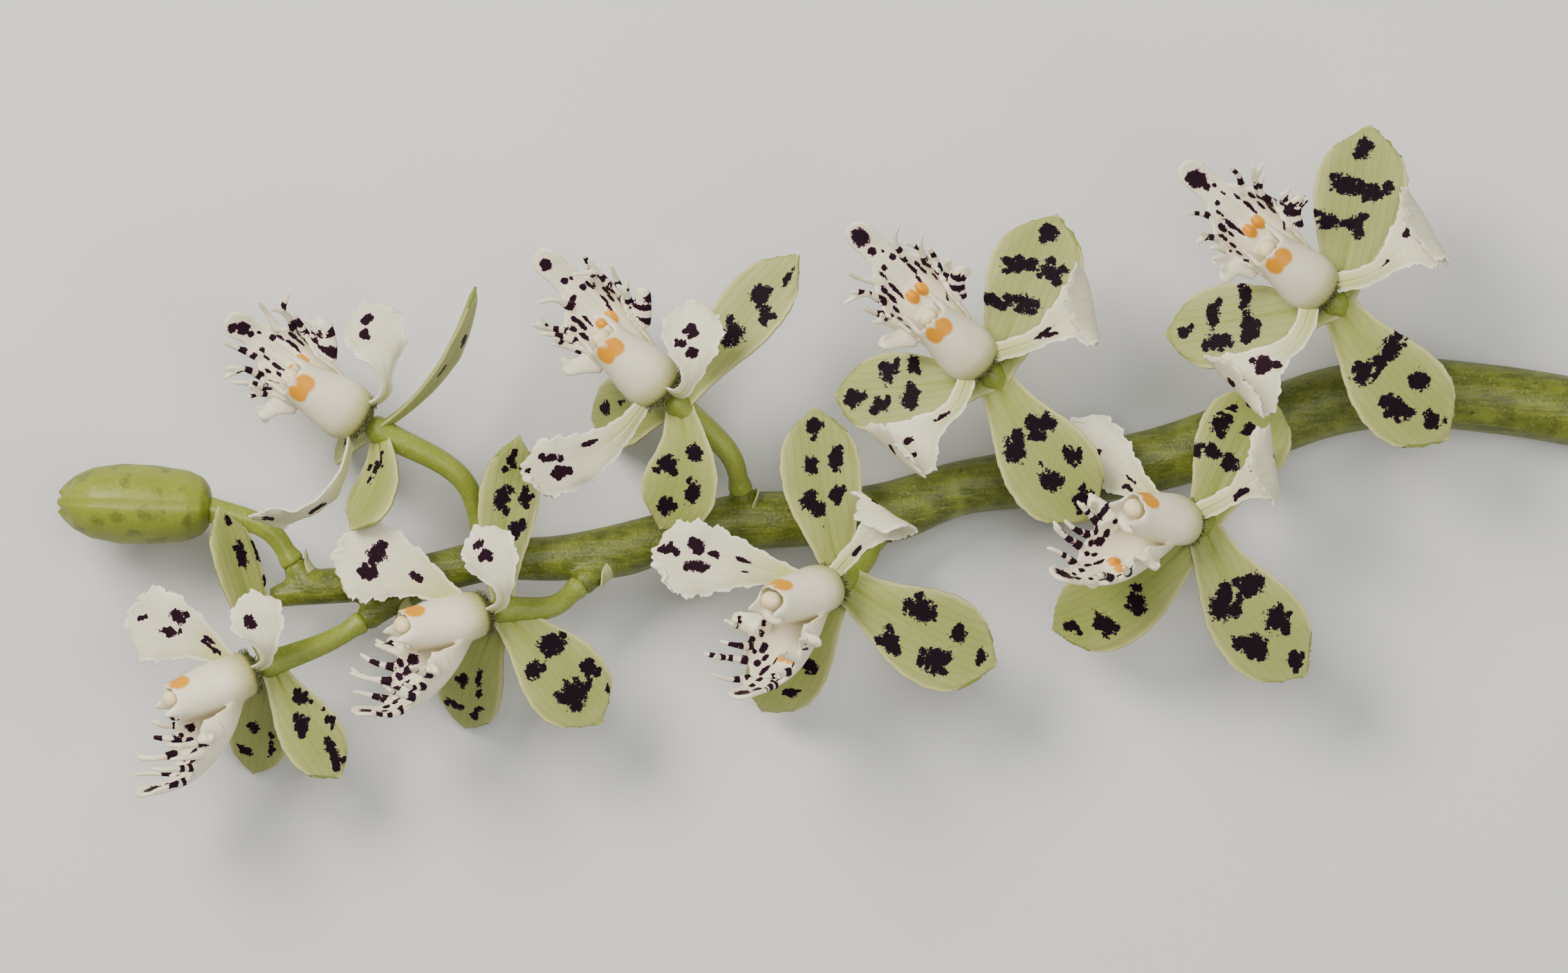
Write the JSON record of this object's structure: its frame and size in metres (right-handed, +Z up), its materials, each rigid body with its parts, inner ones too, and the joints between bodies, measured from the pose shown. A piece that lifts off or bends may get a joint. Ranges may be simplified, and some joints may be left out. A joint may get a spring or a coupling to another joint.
{
  "type": "orchid flower spray",
  "caption": "Cut spray of a fringe-lipped epidendrum orchid with spotted green sepals and white petals, lying on its side.",
  "frame": {"origin": "centre of the bounding box's underside, on the surface that the spray lies on", "axes": "+X along the rachis from the bud to the cut end, +Y across the spray towards the row of flowers that stands higher in the picture, +Z up from the surface, towards the picture's camera"},
  "size_m": [0.211, 0.0858, 0.0322],
  "materials": {
    "stem_green": "satin, waxy skin of a live green stem",
    "bud_green": "satin, waxy skin of a live bud",
    "sepal_green": "satin, waxy, with near-black purple blotches",
    "petal_white": "satin, waxy, with near-black purple blotches",
    "anther_cream": "satin"
  },
  "bodies": {
    "root": {"rachis": "stem_green", "bud": "bud_green", "flower_1_sepals": "sepal_green", "flower_1_petals_and_lip": "petal_white", "flower_1_anther_cap": "anther_cream", "flower_2_sepals": "sepal_green", "flower_2_petals_and_lip": "petal_white", "flower_2_anther_cap": "anther_cream", "flower_3_sepals": "sepal_green", "flower_3_petals_and_lip": "petal_white", "flower_3_anther_cap": "anther_cream", "flower_4_sepals": "sepal_green", "flower_4_petals_and_lip": "petal_white", "flower_4_anther_cap": "anther_cream", "flower_5_sepals": "sepal_green", "flower_5_petals_and_lip": "petal_white", "flower_5_anther_cap": "anther_cream", "flower_6_sepals": "sepal_green", "flower_6_petals_and_lip": "petal_white", "flower_6_anther_cap": "anther_cream", "flower_7_sepals": "sepal_green", "flower_7_petals_and_lip": "petal_white", "flower_7_anther_cap": "anther_cream", "flower_8_sepals": "sepal_green", "flower_8_petals_and_lip": "petal_white", "flower_8_anther_cap": "anther_cream"}
  },
  "joints": []
}
